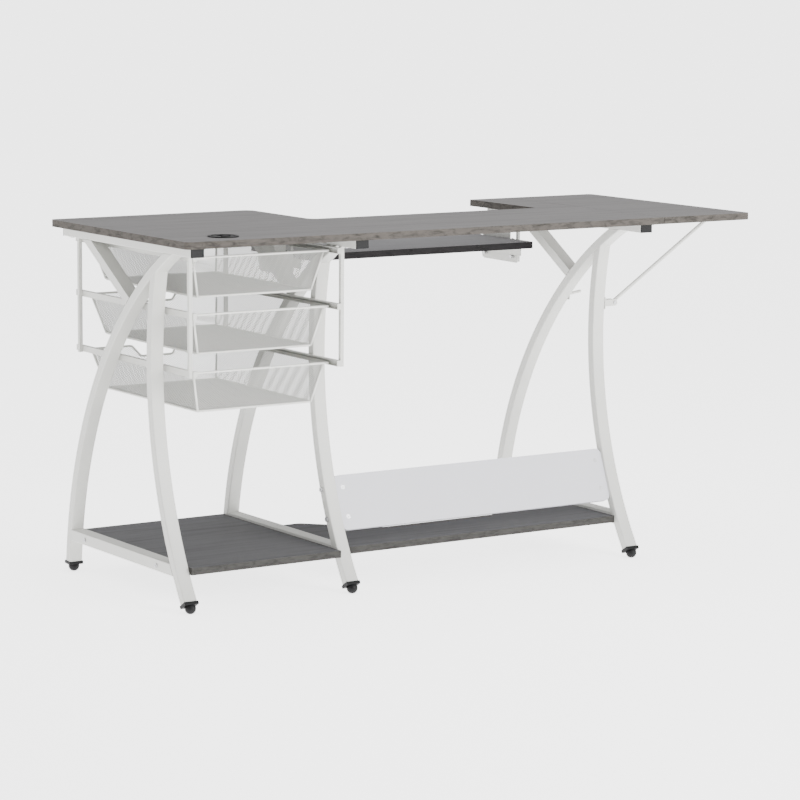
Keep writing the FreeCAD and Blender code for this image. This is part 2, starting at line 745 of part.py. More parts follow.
def rim(level):
    """Wire frame of a basket: rim with its dip, four corner wires and the floor loop."""
    z = rim_z(level)
    lean = TAPER_FRONT / BASKET_DEPTH
    dip = [V(a, RIM_Y1 - lean * (z - b), b) for a, b in dip_outline(z)]
    corners = [V(RIM_X0, RIM_Y0, z), V(RIM_X1, RIM_Y0, z), V(RIM_X1, RIM_Y1, z),
               V(RIM_X0, RIM_Y1, z)]
    path = [corners[3]] + corners[:3] + dip[::-1] + [corners[3]]
    wires = wire_run(path, RIM_R)
    high = body_corners(z, 0.8, 0.0)
    low = body_corners(z, BASKET_DEPTH, 0.0)
    wires += wire_run(low + [low[0]], RIM_R)
    for start, end in zip(high, low):
        wires.append(rod(start, end, CORNER_WIRE_R))
    return wires[0].multiFuse(wires[1:]).removeSplitter()


def wire_run(points, radius):
    """Straight wires with round joints along a run of points."""
    pieces = []
    for start, end in zip(points, points[1:]):
        pieces.append(rod(start, end, radius))
        pieces.append(Part.makeSphere(radius, end))
    return pieces


# ---- platform hangers ---------------------------------------------------------
def hanger_face(side):
    """X of a hanger's face that looks at the platform."""
    return NOTCH_X1 + 2.0 if side > 0 else NOTCH_X0 - 2.0


def platform_face(side):
    return NOTCH_X1 - PLATFORM_GAP if side > 0 else NOTCH_X0 + PLATFORM_GAP


def hanger_plate(side):
    """Hooked side plate screwed under the top beside the cut-out."""
    x = hanger_face(side)
    outline = [
        V(x, HANGER_Y0, BOARD_UNDER), V(x, HANGER_Y0, HANGER_Z0 + 3),
        V(x, HANGER_Y0 + 3, HANGER_Z0), V(x, HANGER_Y1 - 11, HANGER_Z0 + 1),
        V(x, HANGER_Y1 - 3, HANGER_Z0 + 4), V(x, HANGER_Y1, HANGER_Z0 + 12),
        V(x, HANGER_Y1, HANGER_Z0 + 50), V(x, HANGER_Y1 - 20, HANGER_Z0 + 76),
        V(x, HANGER_Y1 - 20, BOARD_UNDER),
    ]
    plate = prism(outline, V(side * HANGER_T, 0, 0))
    slot = [
        V(x, 413, 728), V(x, 413, 680), V(x, 420, 677), V(x, 420, 684),
        V(x, 430, 686), V(x, 431, 678), V(x, 437, 676), V(x, 437, 728),
    ]
    cutter = prism(slot, V(side * 12, 0, 0))
    cutter.translate(V(-side * 6, 0, 0))
    plate = plate.cut(cutter)
    lo, hi = sorted((x, x + side * HANGER_FLANGE))
    near = box(lo, HANGER_Y0 - HANGER_T, HANGER_Z0 + 3, hi, HANGER_Y0, BOARD_UNDER)
    lo, hi = sorted((x, x + side * 22.0))
    tab = box(lo, HANGER_Y0, BOARD_UNDER - HANGER_T, hi, HANGER_Y1 - 20, BOARD_UNDER)
    plate = plate.multiFuse([near, tab])
    for hx, hy in hanger_screw_places():
        plate = plate.cut(Part.makeCylinder(2.1, 8, V(hx, hy, BOARD_UNDER - 5)))
    for y in PEG_Y:
        plate = plate.cut(rod(V(x - 5, y, PEG_Z), V(x + 5, y, PEG_Z), 2.6))
    return plate.removeSplitter()


def hanger_screws():
    return [round_screw(x, y, BOARD_UNDER - HANGER_T) for x, y in hanger_screw_places()]


def support_pegs():
    """Shouldered pegs riveted through the hangers; the lowered platform rests on them."""
    pegs = []
    for side in (-1, 1):
        x = hanger_face(side)
        for y in PEG_Y:
            body = rod(V(x - side * 9.0, y, PEG_Z), V(x, y, PEG_Z), PEG_R)
            tail = rod(V(x, y, PEG_Z), V(x + side * HANGER_T, y, PEG_Z), 2.5)
            head = rod(V(x + side * HANGER_T, y, PEG_Z), V(x + side * 4.0, y, PEG_Z), 4.0)
            pegs.append(body.multiFuse([tail, head]))
    return pegs


def platform_brackets():
    """Angles under the platform's ends; their feet stand on the pegs."""
    brackets = []
    under = PLATFORM_TOP - BOARD
    foot = PEG_Z + PEG_R + 0.5
    for side in (-1, 1):
        face = platform_face(side)
        lo, hi = sorted((face, face - side * 2.0))
        wall = box(lo, 385, foot, hi, 565, under)
        lo, hi = sorted((face, face - side * 22.0))
        flange = box(lo, 385, under - 2.0, hi, 565, under)
        bracket = wall.fuse(flange)
        for x, y in platform_bracket_places():
            bracket = bracket.cut(Part.makeCylinder(2.1, 8, V(x, y, under - 5)))
        brackets.append(bracket.removeSplitter())
    return brackets


def platform_screws():
    under = PLATFORM_TOP - BOARD - 2.0
    return [round_screw(x, y, under) for x, y in platform_bracket_places()]


# ---- leaf hinges --------------------------------------------------------------
def hinge_leaf(y, side, spans):
    """One hinge plate with its knuckles; side is -1 on the top and +1 on the leaf."""
    lo, hi = sorted((HINGE_AXIS_X + side * 4.2, HINGE_AXIS_X + side * 24.0))
    plate = box(lo, y - HINGE_LEN / 2, BOARD_UNDER - 2.0, hi, y + HINGE_LEN / 2, BOARD_UNDER)
    pieces = []
    for y0, y1 in spans:
        knuckle = rod(V(HINGE_AXIS_X, y0, HINGE_AXIS_Z), V(HINGE_AXIS_X, y1, HINGE_AXIS_Z), 3.0)
        lo, hi = sorted((HINGE_AXIS_X, HINGE_AXIS_X + side * 5.0))
        arm = box(lo, y0, BOARD_UNDER - 2.0, hi, y1, BOARD_UNDER)
        pieces += [knuckle, arm]
    hinge = plate.multiFuse(pieces)
    bore = PIN_R + (0.05 if side > 0 else 0.0)
    hinge = hinge.cut(rod(V(HINGE_AXIS_X, y - 40, HINGE_AXIS_Z),
                          V(HINGE_AXIS_X, y + 40, HINGE_AXIS_Z), bore))
    for x, hy in hinge_screw_places(side):
        if abs(hy - y) < HINGE_LEN / 2:
            hinge = hinge.cut(Part.makeCylinder(2.1, 8, V(x, hy, BOARD_UNDER - 5)))
    return hinge.removeSplitter()


def hinge_sets():
    fixed = []
    moving = []
    pins = []
    for y in HINGE_Y:
        a = y - HINGE_LEN / 2
        fixed.append(hinge_leaf(y, -1, [(a, a + 15), (a + 45, a + 60)]))
        moving.append(hinge_leaf(y, 1, [(a + 15.4, a + 44.6)]))
        pins.append(rod(V(HINGE_AXIS_X, a, HINGE_AXIS_Z),
                        V(HINGE_AXIS_X, a + HINGE_LEN, HINGE_AXIS_Z), PIN_R))
    return fixed, moving, pins


def hinge_screws(side):
    places = hinge_screw_places(side)
    return [round_screw(x, y, BOARD_UNDER - 2.0) for x, y in places]


# ---- leaf stay ----------------------------------------------------------------
def stay_bracket():
    """Small yoke screwed to the right rear leg that carries the stay's pivot pin."""
    face = LEG_X["right"] + TUBE_W
    y = leg_centre_y(FLARE_CY, FLARE_CZ, STAY_Z)
    plate = box(face, y - 11, STAY_Z - 14, face + 2.0, y + 11, STAY_Z + 14)
    plate = plate.makeFillet(3.0, [e for e in plate.Edges if abs(e.Length - 2.0) < 0.01])
    ears = []
    for y0 in (STAY_Y - 10.0, STAY_Y + 6.0):
        ears.append(box(face, y0, STAY_Z - STAY_EAR_R, STAY_X, y0 + 2.0, STAY_Z + STAY_EAR_R))
        ears.append(rod(V(STAY_X, y0, STAY_Z), V(STAY_X, y0 + 2.0, STAY_Z), STAY_EAR_R))
    bracket = plate.multiFuse(ears)
    bracket = bracket.cut(rod(V(STAY_X, STAY_Y - 20, STAY_Z), V(STAY_X, STAY_Y + 20, STAY_Z),
                              2.5))
    for z in (STAY_Z - 9.0, STAY_Z + 9.0):
        y = leg_centre_y(FLARE_CY, FLARE_CZ, z)
        bracket = bracket.cut(rod(V(face - 5, y, z), V(face + 5, y, z), 1.7))
    return bracket.removeSplitter()


def stay_pin():
    pin = rod(V(STAY_X, STAY_Y - 10, STAY_Z), V(STAY_X, STAY_Y + 8, STAY_Z), 2.5)
    heads = []
    for y in (STAY_Y - 11.6, STAY_Y + 8.0):
        heads.append(rod(V(STAY_X, y, STAY_Z), V(STAY_X, y + 1.6, STAY_Z), 4.0))
    return pin.multiFuse(heads)


def stay_rod():
    """Slanting rod with an eye on the pivot pin and a turned-over upper end."""
    pivot = V(STAY_X, STAY_Y, STAY_Z)
    tip = V(STAY_TIP_X, STAY_TIP_Y, STAY_TIP_Z)
    eye = rod(V(STAY_X, STAY_Y - 5.5, STAY_Z), V(STAY_X, STAY_Y + 5.5, STAY_Z), 6.0)
    along = tip.sub(pivot)
    along.normalize()
    start = pivot.add(along * 3.5)
    shaft = rod(start, tip, STAY_ROD_R)
    stay = eye.multiFuse([shaft, Part.makeSphere(STAY_ROD_R, tip)])
    return stay.cut(rod(V(STAY_X, STAY_Y - 9, STAY_Z), V(STAY_X, STAY_Y + 9, STAY_Z), 2.56))


def stay_catch():
    """Shallow channel under the leaf that keeps the stay's upper end in line."""
    x0 = STAY_TIP_X - 12.0
    x1 = STAY_TIP_X + 4.0
    pieces = []
    for side in (-1, 1):
        y = STAY_TIP_Y + side * 10.0
        lo, hi = sorted((y, y + side * 1.6))
        pieces.append(box(x0, lo, BOARD_UNDER - 9.0, x1, hi, BOARD_UNDER))
        lo, hi = sorted((y, y + side * 13.0))
        pieces.append(box(x0, lo, BOARD_UNDER - 1.6, x1, hi, BOARD_UNDER))
    catches = [pieces[0].fuse(pieces[1]), pieces[2].fuse(pieces[3])]
    cut = []
    for shape in catches:
        for x, y in stay_catch_places():
            shape = shape.cut(Part.makeCylinder(2.1, 8, V(x, y, BOARD_UNDER - 5)))
        cut.append(shape.removeSplitter())
    return cut


def stay_screws():
    """Two leg screws for the bracket."""
    face = LEG_X["right"] + TUBE_W + 2.0
    screws = []
    for z in (STAY_Z - 9.0, STAY_Z + 9.0):
        y = leg_centre_y(FLARE_CY, FLARE_CZ, z)
        head = rod(V(face, y, z), V(face + 1.6, y, z), 3.0)
        screws.append(head.fuse(rod(V(face - 6, y, z), V(face, y, z), 1.6)))
    return screws


def catch_screws():
    return [round_screw(x, y, BOARD_UNDER - 1.6) for x, y in stay_catch_places()]


def far_peg():
    """Small plate with a round peg on the right front leg."""
    face = LEG_X["right"] + TUBE_W
    y = leg_centre_y(ARC_CY, ARC_CZ, FAR_PEG_Z)
    plate = box(face, y - 9, FAR_PEG_Z - 12, face + 2.0, y + 9, FAR_PEG_Z + 12)
    plate = plate.makeFillet(3.0, [e for e in plate.Edges if abs(e.Length - 2.0) < 0.01])
    peg = rod(V(face + 1.0, y, FAR_PEG_Z), V(face + FAR_PEG_REACH, y, FAR_PEG_Z + 5.0), 3.2)
    knob = Part.makeSphere(3.2, V(face + FAR_PEG_REACH, y, FAR_PEG_Z + 5.0))
    return plate.multiFuse([peg, knob])


# ---- cable grommet ------------------------------------------------------------
def grommet_ring():
    """Sleeve in the top's bore with a thin flange on the surface."""
    base = V(GROMMET_X, GROMMET_Y, BOARD_UNDER - 3)
    sleeve = Part.makeCylinder(GROMMET_BORE_R - 0.2, BOARD + 3, base)
    flange = Part.makeCylinder(32.0, 2.4 + GROMMET_SEAT,
                               V(GROMMET_X, GROMMET_Y, HEIGHT - GROMMET_SEAT))
    top = [e for e in flange.Edges if abs(e.BoundBox.ZMin - HEIGHT - 2.4) < 0.01]
    flange = flange.makeFillet(1.2, top)
    ring = sleeve.fuse(flange)
    ring = ring.cut(Part.makeCylinder(GROMMET_BORE_R - 2.0, 40,
                                      V(GROMMET_X, GROMMET_Y, BOARD_UNDER - 10)))
    ledge = Part.makeCylinder(GROMMET_BORE_R - 2.0, 1.6, V(GROMMET_X, GROMMET_Y, HEIGHT - 5))
    ledge = ledge.cut(Part.makeCylinder(GROMMET_BORE_R - 5.0, 4,
                                        V(GROMMET_X, GROMMET_Y, HEIGHT - 6)))
    return ring.fuse(ledge).removeSplitter()


def grommet_lid():
    """Turning cover with a cable mouth at its edge and a raised grip."""
    radius = GROMMET_BORE_R - 2.4
    z = HEIGHT - 3.0
    lid = Part.makeCylinder(radius, 4.6, V(GROMMET_X, GROMMET_Y, z))
    top = [e for e in lid.Edges if abs(e.BoundBox.ZMin - z - 4.6) < 0.01]
    lid = lid.makeFillet(0.8, top)
    mouth = box(GROMMET_X - 9, GROMMET_Y + 8, z - 1, GROMMET_X + 9, GROMMET_Y + 40, z + 8)
    mouth = mouth.fuse(Part.makeCylinder(9, 9, V(GROMMET_X, GROMMET_Y + 8, z - 1)))
    grip = box(GROMMET_X - 11, GROMMET_Y - 12, z + 4.6, GROMMET_X + 11, GROMMET_Y - 8, z + 6.6)
    grip = grip.makeFillet(0.8, grip.Edges)
    return lid.cut(mouth).fuse(grip).removeSplitter()


# ---- write everything ---------------------------------------------------------
os.makedirs("parts", exist_ok=True)

save("main_top", [main_top()])
save("fold_down_leaf", [fold_down_leaf()])
save("drop_platform", [drop_platform()])
save("left_lower_shelf", [left_lower_shelf()])
save("centre_lower_shelf", [centre_lower_shelf()])
save("back_panel", [back_panel()])

for leg_name in LEG_X:
    save(leg_name + "_top_rail", [top_rail(leg_name)])
    save(leg_name + "_arc_leg", [arc_leg(leg_name)])
    save(leg_name + "_flared_leg", [flared_leg(leg_name)])
    save(leg_name + "_brace", [diagonal_brace(leg_name)])
    save(leg_name + "_lower_rail", [lower_rail(leg_name)])
    save(leg_name + "_front_glide", [glide(leg_name, True)])
    save(leg_name + "_rear_glide", [glide(leg_name, False)])

save("foot_plugs", [foot_plug(n, front) for n in LEG_X for front in (True, False)])
save("rail_end_caps", rail_end_caps())
save("rail_screws", rail_screws())
save("shelf_screws", shelf_screws())
panel_bolt_set, panel_nut_set = panel_parts()
save("panel_bolts", panel_bolt_set)
save("panel_barrel_nuts", panel_nut_set)

save("left_drawer_frame", [unit_side(-1)])
save("right_drawer_frame", [unit_side(1)])
for level_name in CHANNEL_Z:
    save(level_name + "_basket", [basket(level_name)])
    save(level_name + "_basket_wire", [rim(level_name)])

save("left_hanger", [hanger_plate(-1)])
save("right_hanger", [hanger_plate(1)])
save("support_pegs", support_pegs())
save("platform_brackets", platform_brackets())
save("platform_screws", platform_screws())

hinge_fixed, hinge_moving, hinge_pin_set = hinge_sets()
save("hinge_fixed_plates", hinge_fixed)
save("hinge_leaf_plates", hinge_moving)
save("hinge_pins", hinge_pin_set)
save("under_top_screws", unit_screws() + hanger_screws() + hinge_screws(-1))
save("hinge_leaf_screws", hinge_screws(1) + catch_screws())
save("stay_bracket", [stay_bracket()])
save("stay_pin", [stay_pin()])
save("stay_bracket_screws", stay_screws())
save("stay_rod", [stay_rod()])
save("stay_catch", stay_catch())
save("far_peg", [far_peg()])
save("grommet_ring", [grommet_ring()])
save("grommet_lid", [grommet_lid()])
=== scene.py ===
"""Looks for the sewing table: materials, mesh drawers, floor, light and camera."""
import json
import math

import bpy
import numpy as np
from mathutils import Matrix, Vector


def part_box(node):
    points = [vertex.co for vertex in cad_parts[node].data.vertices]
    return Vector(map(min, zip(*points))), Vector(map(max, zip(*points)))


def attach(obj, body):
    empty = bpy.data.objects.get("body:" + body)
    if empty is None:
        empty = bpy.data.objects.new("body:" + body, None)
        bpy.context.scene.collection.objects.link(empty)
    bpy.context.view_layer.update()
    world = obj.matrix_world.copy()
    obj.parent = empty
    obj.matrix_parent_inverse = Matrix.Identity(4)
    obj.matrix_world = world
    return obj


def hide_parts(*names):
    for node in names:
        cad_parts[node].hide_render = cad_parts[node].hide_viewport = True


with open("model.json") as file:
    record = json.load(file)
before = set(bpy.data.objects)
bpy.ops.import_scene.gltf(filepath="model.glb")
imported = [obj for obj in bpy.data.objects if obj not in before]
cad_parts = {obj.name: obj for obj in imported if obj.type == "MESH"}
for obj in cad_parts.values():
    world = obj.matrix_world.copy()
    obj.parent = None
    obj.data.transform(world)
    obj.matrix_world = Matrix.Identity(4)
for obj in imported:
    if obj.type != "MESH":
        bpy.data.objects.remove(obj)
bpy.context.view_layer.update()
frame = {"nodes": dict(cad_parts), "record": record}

nodes = frame["nodes"]
LEVELS = ("top", "middle", "bottom")


# ---- node helpers ---------------------------------------------------------------
class Graph:
    """A material under construction: one Principled shader and helpers to feed it."""

    def __init__(self, name, color, roughness, metallic=0.0):
        self.mat = bpy.data.materials.new(name)
        self.mat.use_nodes = True
        self.tree = self.mat.node_tree
        self.bsdf = self.tree.nodes["Principled BSDF"]
        self.bsdf.inputs["Base Color"].default_value = (*color, 1.0)
        self.bsdf.inputs["Roughness"].default_value = roughness
        self.bsdf.inputs["Metallic"].default_value = metallic
        self.coords = self.tree.nodes.new("ShaderNodeTexCoord")

    def node(self, kind, **inputs):
        made = self.tree.nodes.new(kind)
        for key, value in inputs.items():
            made.inputs[key].default_value = value
        return made

    def link(self, source, target):
        self.tree.links.new(source, target)

    def scaled(self, scale, rotate=(0, 0, 0)):
        """Object coordinates stretched by a scale in each direction."""
        mapping = self.tree.nodes.new("ShaderNodeMapping")
        mapping.inputs["Scale"].default_value = scale
        mapping.inputs["Rotation"].default_value = rotate
        self.link(self.coords.outputs["Object"], mapping.inputs["Vector"])
        return mapping.outputs["Vector"]

    def noise(self, scale, detail=3.0, rough=0.5, stretch=(1, 1, 1), distort=0.0):
        made = self.node("ShaderNodeTexNoise", Scale=scale, Detail=detail, Roughness=rough,
                         Distortion=distort)
        self.link(self.scaled(stretch), made.inputs["Vector"])
        return made.outputs["Fac"]

    def ramp(self, fac, stops):
        made = self.tree.nodes.new("ShaderNodeValToRGB")
        ramp = made.color_ramp
        while len(ramp.elements) < len(stops):
            ramp.elements.new(0.5)
        for element, (place, color) in zip(ramp.elements, stops):
            element.position = place
            element.color = (*color, 1.0) if len(color) == 3 else color
        self.link(fac, made.inputs["Fac"])
        return made.outputs["Color"]

    def mix(self, fac, a, b, blend="MIX"):
        made = self.tree.nodes.new("ShaderNodeMix")
        made.data_type = "RGBA"
        made.blend_type = blend
        for value, key in ((fac, "Factor"), (a, "A"), (b, "B")):
            index = {"Factor": 0, "A": 6, "B": 7}[key]
            if hasattr(value, "links"):
                self.link(value, made.inputs[index])
            elif isinstance(value, (int, float)):
                made.inputs[index].default_value = value
            else:
                made.inputs[index].default_value = (*value, 1.0)
        return made.outputs[2]

    def math(self, operation, a, b=0.0):
        made = self.tree.nodes.new("ShaderNodeMath")
        made.operation = operation
        for index, value in enumerate((a, b)):
            if hasattr(value, "links"):
                self.link(value, made.inputs[index])
            else:
                made.inputs[index].default_value = value
        return made.outputs["Value"]

    def level(self, fac, low, high):
        """Remap 0..1 to low..high."""
        made = self.node("ShaderNodeMapRange")
        made.inputs["To Min"].default_value = low
        made.inputs["To Max"].default_value = high
        self.link(fac, made.inputs["Value"])
        return made.outputs["Result"]

    def color(self, socket):
        self.link(socket, self.bsdf.inputs["Base Color"])

    def roughness(self, socket):
        self.link(socket, self.bsdf.inputs["Roughness"])

    def bump(self, height, distance, strength=1.0):
        made = self.node("ShaderNodeBump", Strength=strength, Distance=distance)
        self.link(height, made.inputs["Height"])
        self.link(made.outputs["Normal"], self.bsdf.inputs["Normal"])


def srgb(r, g, b):
    """Linear colour from 0..255 screen values."""
    out = []
    for value in (r, g, b):
        v = value / 255
        out.append(v / 12.92 if v <= 0.04045 else ((v + 0.055) / 1.055) ** 2.4)
    return tuple(out)


def laminate(name, face, streak, edge, edge_dark, grain=(3, 70, 70), roughness=0.58):
    """Printed laminate with long grain on its faces and a mottled band round its edges."""
    g = Graph(name, face, roughness)
    g.bsdf.inputs["Specular IOR Level"].default_value = 0.12
    long_grain = g.noise(1.0, 5.0, 0.62, grain, 0.6)
    fine = g.noise(1.0, 4.0, 0.7, (grain[0] * 7, grain[1] * 7, grain[2] * 7))
    blotch = g.noise(2.6, 3.0, 0.5)
    light = tuple(c * 1.08 for c in face)
    base = g.ramp(long_grain, [(0.32, streak), (0.5, face), (0.72, light)])
    base = g.mix(g.level(fine, 0.0, 0.30), base, tuple(c * 0.72 for c in streak))
    base = g.mix(g.level(blotch, 0.0, 0.16), base, tuple(c * 1.2 for c in face))
    band = g.noise(1.0, 4.0, 0.65, (38, 38, 120), 0.8)
    edge_light = tuple(c * 1.22 for c in edge)
    band = g.ramp(band, [(0.30, edge_dark), (0.52, edge), (0.75, edge_light)])
    split = g.tree.nodes.new("ShaderNodeSeparateXYZ")
    g.link(g.coords.outputs["Normal"], split.inputs[0])
    upright = g.math("ABSOLUTE", split.outputs["Z"])
    is_edge = g.math("LESS_THAN", upright, 0.6)
    g.color(g.mix(is_edge, base, band))
    g.roughness(g.level(fine, roughness - 0.06, roughness + 0.12))
    g.bump(fine, 0.00012, 0.5)
    return g.mat


def powder_coat(name, color, roughness=0.36, peel=900.0, shade=0.93):
    """Satin powder coat: orange-peel bump, faint cloudiness and varying gloss."""
    g = Graph(name, color, roughness)
    cloud = g.noise(7.0, 4.0, 0.55)
    fleck = g.noise(420.0, 2.0, 0.5)
    darker = tuple(c * shade for c in color)
    tint = g.ramp(cloud, [(0.3, darker), (0.62, color)])
    g.color(g.mix(g.level(fleck, 0.0, 0.10), tint, tuple(c * 0.86 for c in color)))
    g.roughness(g.level(cloud, roughness - 0.05, roughness + 0.09))
    g.bump(g.noise(peel, 2.0, 0.5), 0.00010, 0.55)
    return g.mat


def moulded_plastic(name, color, roughness=0.48):
    """Moulded plastic with a fine spark-eroded grain."""
    g = Graph(name, color, roughness)
    g.bsdf.inputs["Specular IOR Level"].default_value = 0.2
    grain = g.noise(1600.0, 3.0, 0.6)
    cloud = g.noise(45.0, 3.0, 0.5)
    g.color(g.ramp(cloud, [(0.3, color), (0.75, tuple(c * 1.7 + 0.001 for c in color))]))
    g.roughness(g.level(cloud, roughness - 0.08, roughness + 0.1))
    g.bump(grain, 0.00008, 0.6)
    return g.mat


def plated_steel(name, color=(0.55, 0.55, 0.56), roughness=0.32):
    """Zinc-plated steel with turned marks and dull patches."""
    g = Graph(name, color, roughness, 1.0)
    patch = g.noise(160.0, 4.0, 0.6)
    turned = g.noise(1.0, 2.0, 0.5, (300, 2200, 2200))
    g.color(g.ramp(patch, [(0.3, tuple(c * 0.82 for c in color)), (0.7, color)]))
    g.roughness(g.level(patch, roughness - 0.06, roughness + 0.16))
    g.bump(turned, 0.00003, 0.5)
    return g.mat


def white_board(name, color):
    """Smooth melamine board, very slightly textured, with a matching edge."""
    g = Graph(name, color, 0.4)
    cloud = g.noise(5.0, 3.0, 0.5)
    pore = g.noise(700.0, 3.0, 0.55)
    tint = g.ramp(cloud, [(0.3, tuple(c * 0.965 for c in color)), (0.7, color)])
    g.color(g.mix(g.level(pore, 0.0, 0.08), tint, tuple(c * 0.85 for c in color)))
    g.roughness(g.level(pore, 0.34, 0.5))
    g.bump(pore, 0.00006, 0.5)
    return g.mat


TOP_FACE = srgb(124, 122, 122)
MATERIALS = {
    "laminate_top": laminate("laminate_top", TOP_FACE, srgb(110, 108, 108),
                             srgb(74, 70, 66), srgb(44, 42, 39)),
    "laminate_platform": laminate("laminate_platform", srgb(126, 125, 127), srgb(112, 111, 113),
                                  srgb(30, 28, 29), srgb(16, 15, 16)),
    "laminate_shelf": laminate("laminate_shelf", srgb(91, 91, 93), srgb(76, 76, 78),
                               srgb(58, 57, 55), srgb(38, 37, 36)),
    "panel_white": white_board("panel_white", srgb(206, 206, 212)),
    "powder_coat": powder_coat("powder_coat", srgb(200, 200, 195)),
    # basket_mesh is the same white powder coat as the wire, painted darker grey as painted shade
    # on the thin mesh strands
    "basket_mesh": powder_coat("basket_mesh", srgb(166, 166, 162), 0.4, 1400.0),
    "basket_wire": powder_coat("basket_wire", srgb(216, 216, 211), 0.33, 1400.0),
    "black_plastic": moulded_plastic("black_plastic", srgb(9, 9, 10)),
    "zinc_steel": plated_steel("zinc_steel"),
}

for part in frame["record"]["subparts"]:
    mesh = nodes[part["node"]].data
    mesh.materials.clear()
    mesh.materials.append(MATERIALS[part["material_slot"]])


# ---- mesh building --------------------------------------------------------------
def add_piece(name, verts, faces, slot, body, smooth=False):
    mesh = bpy.data.meshes.new(name)
    mesh.from_pydata([tuple(v) for v in verts], [], [tuple(f) for f in faces])
    mesh.update()
    if smooth:
        mesh.polygons.foreach_set("use_smooth", [True] * len(mesh.polygons))
    mesh.materials.append(MATERIALS[slot])
    piece = bpy.data.objects.new(name, mesh)
    bpy.context.scene.collection.objects.link(piece)
    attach(piece, body)
    return piece


def rounded_path(points, radius, closed, steps=5):
    """Replace each corner of a run of points by a short curve."""
    count = len(points)
    out = []
    for i, corner in enumerate(points):
        if not closed and i in (0, count - 1):
            out.append(corner)
            continue
        before = points[i - 1] - corner
        after = points[(i + 1) % count] - corner
        reach = min(radius, before.length * 0.45, after.length * 0.45)
        a = corner + before.normalized() * reach
        b = corner + after.normalized() * reach
        for k in range(steps + 1):
            t = k / steps
            out.append(a * (1 - t) ** 2 + corner * (2 * t * (1 - t)) + b * t ** 2)
    return out


def tube(points, radius, closed, sides=10):
    """Vertices and faces of a round wire along a run of points."""
    count = len(points)
    verts = []
    side = None
    for i in range(count):
        if closed:
            along = points[(i + 1) % count] - points[i - 1]
        else:
            along = points[min(i + 1, count - 1)] - points[max(i - 1, 0)]
        along.normalize()
        if side is None:
            side = along.orthogonal().normalized()
        side = (side - along * side.dot(along)).normalized()
        up = along.cross(side)
        for k in range(sides):
            turn = 2 * math.pi * k / sides
            verts.append(points[i] + (side * math.cos(turn) + up * math.sin(turn)) * radius)
    faces = []
    for i in range(count if closed else count - 1):
        a = i * sides
        b = ((i + 1) % count) * sides
        for k in range(sides):
            n = (k + 1) % sides
            faces.append((a + k, a + n, b + n, b + k))
    if closed:
        faces = close_twist(points, verts, faces, sides)
    else:
        faces.append(tuple(range(sides))[::-1])
        faces.append(tuple(range((count - 1) * sides, count * sides)))
    return verts, faces


def close_twist(points, verts, faces, sides):
    """Join the last ring of a closed wire to the first with the least twist."""
    count = len(points)
    last = (count - 1) * sides
    shift = min(range(sides), key=lambda s: sum(
        (verts[last + k] - verts[(k + s) % sides]).length for k in range(sides)))
    kept = faces[:(count - 1) * sides]
    for k in range(sides):
        n = (k + 1) % sides
        kept.append((last + k, last + n, (n + shift) % sides, (k + shift) % sides))
    return kept


def merged(parts):
    """Join (verts, faces) pairs into one."""
    verts = []
    faces = []
    for some, more in parts:
        base = len(verts)
        verts += some
        faces += [tuple(i + base for i in face) for face in more]
    return verts, faces


# ---- expanded mesh drawers ------------------------------------------------------
RIM_R = 0.0025
CORNER_WIRE_R = 0.0023
LIP = 0.0135
TAPER_SIDE = 0.0200
TAPER_REAR = 0.0175
TAPER_FRONT = 0.0310
DEPTH = 0.082
DIP_TOP = 0.115
DIP_LOW = 0.078
DIP_DEEP = 0.0225
SHEET_INSET = 0.0012
DIAMOND_W = 0.0064
DIAMOND_H = 0.0050
STRAND_W = 0.0012
STRAND_T = 0.0007


def zigzag_row(u_from, u_to, v, flip, origin, u_dir, v_dir, n_dir):
    """One zigzag strand of expanded mesh as a closed ribbon."""
    half = DIAMOND_W / 2
    first = math.ceil(u_from / half + 1e-6)
    last = math.floor(u_to / half - 1e-6)
    stations = [u_from] + [k * half for k in range(first, last + 1)] + [u_to]

    def swing(u):
        phase = (u / half) % 2.0
        tri = 1.0 - 2.0 * phase if phase < 1.0 else 2.0 * phase - 3.0
        return flip * tri * DIAMOND_H / 4

    u = np.array(stations)
    w = v + np.array([swing(s) for s in stations])
    ring = [(-STRAND_W / 2, -STRAND_T / 2), (STRAND_W / 2, -STRAND_T / 2),
            (STRAND_W / 2, STRAND_T / 2), (-STRAND_W / 2, STRAND_T / 2)]
    verts = np.zeros((len(u), 4, 3))
    for k, (dv, dn) in enumerate(ring):
        verts[:, k, :] = (origin + np.outer(u, u_dir) + np.outer(w + dv, v_dir) + dn * n_dir)
    count = len(u)
    a = np.arange(count - 1)[:, None] * 4
    quads = []
    for k in range(4):
        n = (k + 1) % 4
        quads.append(np.hstack([a + k, a + 4 + k, a + 4 + n, a + n]))
    faces = np.vstack(quads)
    end = (count - 1) * 4
    caps = np.array([[0, 1, 2, 3], [end + 3, end + 2, end + 1, end]])
    return verts.reshape(-1, 3), np.vstack([faces, caps])


